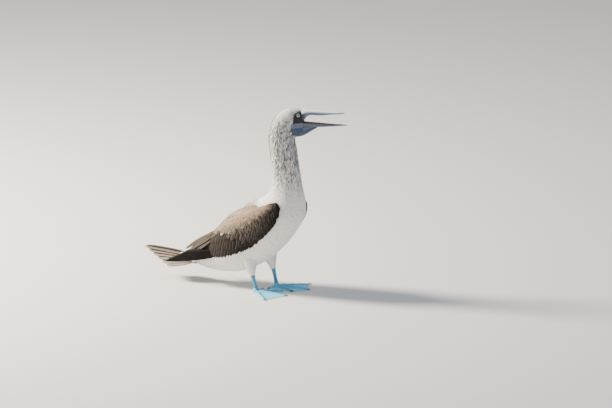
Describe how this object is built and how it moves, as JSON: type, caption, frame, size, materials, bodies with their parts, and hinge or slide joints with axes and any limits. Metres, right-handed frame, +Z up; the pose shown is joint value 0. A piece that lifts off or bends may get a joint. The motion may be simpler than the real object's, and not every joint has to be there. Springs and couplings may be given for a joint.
{
  "type": "blue-footed booby",
  "caption": "Life-size still model of a standing blue-footed booby with open beak, folded wings and webbed blue feet.",
  "frame": {"origin": "centre of the box's bottom face, on the floor between the feet's level and the tail", "axes": "+Z up, +X the way the body faces, +Y to the bird's left"},
  "size_m": [0.5554, 0.1994, 0.4813],
  "materials": {
    "plumage_white": "soft white body feathers",
    "plumage_streaked": "narrow pointed feathers streaked brown and white",
    "plumage_brown": "brown wing feathers with paler edges, black primaries",
    "plumage_tail": "pale buff tail feathers",
    "bill": "blue-grey horn, satin",
    "bare_skin": "dark blue bare skin",
    "eye": "wet, pale yellow iris",
    "foot_skin": "turquoise-blue scaled skin and web",
    "claw": "grey horn"
  },
  "bodies": {
    "root": {"torso": "plumage_white", "neck": "plumage_streaked", "head": "plumage_streaked", "bill_upper": "bill", "bill_lower": "bill", "gular_pouch": "bare_skin", "eye_left": "eye", "eye_right": "eye", "wing_left": "plumage_brown", "wing_right": "plumage_brown", "tail": "plumage_tail", "thigh_left": "plumage_white", "thigh_right": "plumage_white", "shank_left": "foot_skin", "shank_right": "foot_skin", "foot_left": "foot_skin", "foot_right": "foot_skin", "claw_outer_left": "claw", "claw_middle_left": "claw", "claw_inner_left": "claw", "claw_hind_left": "claw", "claw_outer_right": "claw", "claw_middle_right": "claw", "claw_inner_right": "claw", "claw_hind_right": "claw"}
  },
  "joints": []
}
